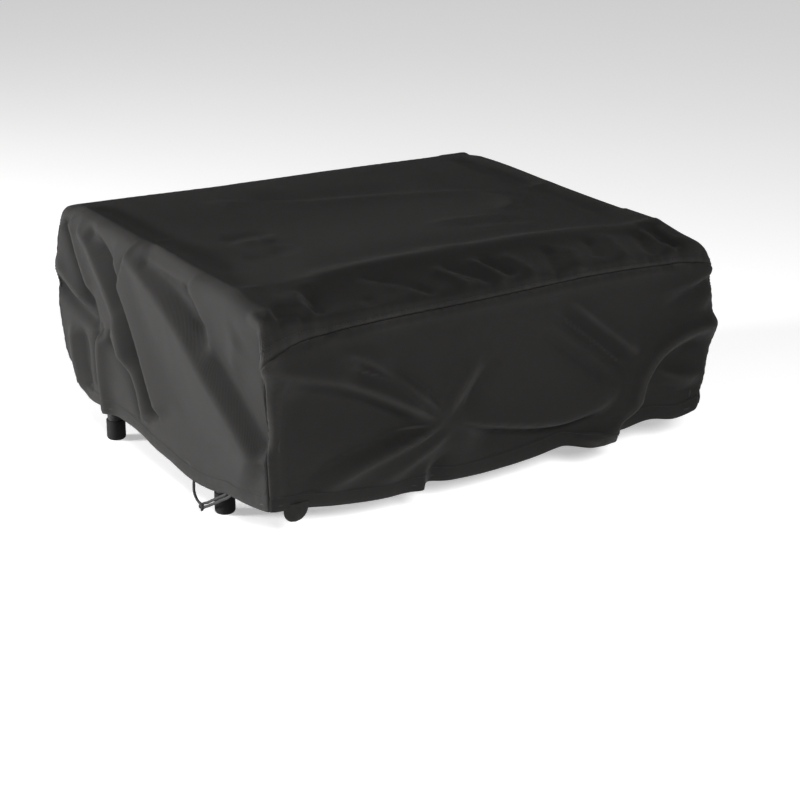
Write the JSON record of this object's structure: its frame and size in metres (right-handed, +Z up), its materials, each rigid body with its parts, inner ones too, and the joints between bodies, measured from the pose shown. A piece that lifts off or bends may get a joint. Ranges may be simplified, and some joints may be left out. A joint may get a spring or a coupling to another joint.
{
  "type": "printer enclosure tent",
  "caption": "Low fitted fabric cover with a sloping nose and a drawstring hem, over a knock-down tube stand on short round legs.",
  "frame": {"origin": "on the floor, under the middle of the cover", "axes": "+X to the right along the width, -Y to the front where the roof slopes down, +Z up"},
  "size_m": [0.5817, 0.483, 0.2649],
  "materials": {
    "cover_fabric": "coated black polyester, plain weave, faint sheen",
    "binding_tape": "woven tape",
    "cord": "braided polyester cord",
    "tube_metal": "dark powder coat",
    "fitting_plastic": "moulded, fine texture",
    "foot_rubber": "matte moulded rubber",
    "screw_steel": "zinc plated"
  },
  "bodies": {
    "stand": {"side_rail_left": "tube_metal", "side_rail_right": "tube_metal", "nose_arm_left": "tube_metal", "nose_arm_right": "tube_metal", "spreader_left": "tube_metal", "spreader_right": "tube_metal", "corner_rear_left": "fitting_plastic", "corner_rear_right": "fitting_plastic", "corner_nose_left": "fitting_plastic", "corner_nose_right": "fitting_plastic", "ridge_fitting_left": "fitting_plastic", "ridge_fitting_right": "fitting_plastic", "mid_fitting_left": "fitting_plastic", "mid_fitting_right": "fitting_plastic", "leg_rear_left": "tube_metal", "leg_rear_right": "tube_metal", "leg_front_left": "tube_metal", "leg_front_right": "tube_metal", "foot_cap_rear_left": "foot_rubber", "foot_cap_rear_right": "foot_rubber", "foot_cap_front_left": "foot_rubber", "foot_cap_front_right": "foot_rubber", "leg_tee_rear_left": "fitting_plastic", "leg_tee_rear_right": "fitting_plastic", "leg_tee_front_left": "fitting_plastic", "leg_tee_front_right": "fitting_plastic", "spreader_tee_rear_left": "fitting_plastic", "spreader_tee_rear_right": "fitting_plastic", "spreader_tee_front_left": "fitting_plastic", "spreader_tee_front_right": "fitting_plastic", "rear_rail": "tube_metal", "mid_rail": "tube_metal", "ridge_rail": "tube_metal", "nose_rail": "tube_metal", "grub_screws": "screw_steel"},
    "cover": {"wrap_panel": "cover_fabric", "front_panel": "cover_fabric", "rear_panel": "cover_fabric", "front_seam_binding": "binding_tape", "rear_seam_binding": "binding_tape", "hem_left": "cover_fabric", "hem_right": "cover_fabric", "hem_front": "cover_fabric", "hem_rear": "cover_fabric", "hem_tuck": "cover_fabric", "drawstring": "cord", "drawstring_loop": "cord", "drawstring_tail": "cord", "drawstring_knot": "cord"}
  },
  "joints": [
    {"name": "cover_lift", "type": "slide", "parent": "stand", "child": "cover", "axis": [0, 0, 1], "range_m": [0, 0.3]}
  ]
}
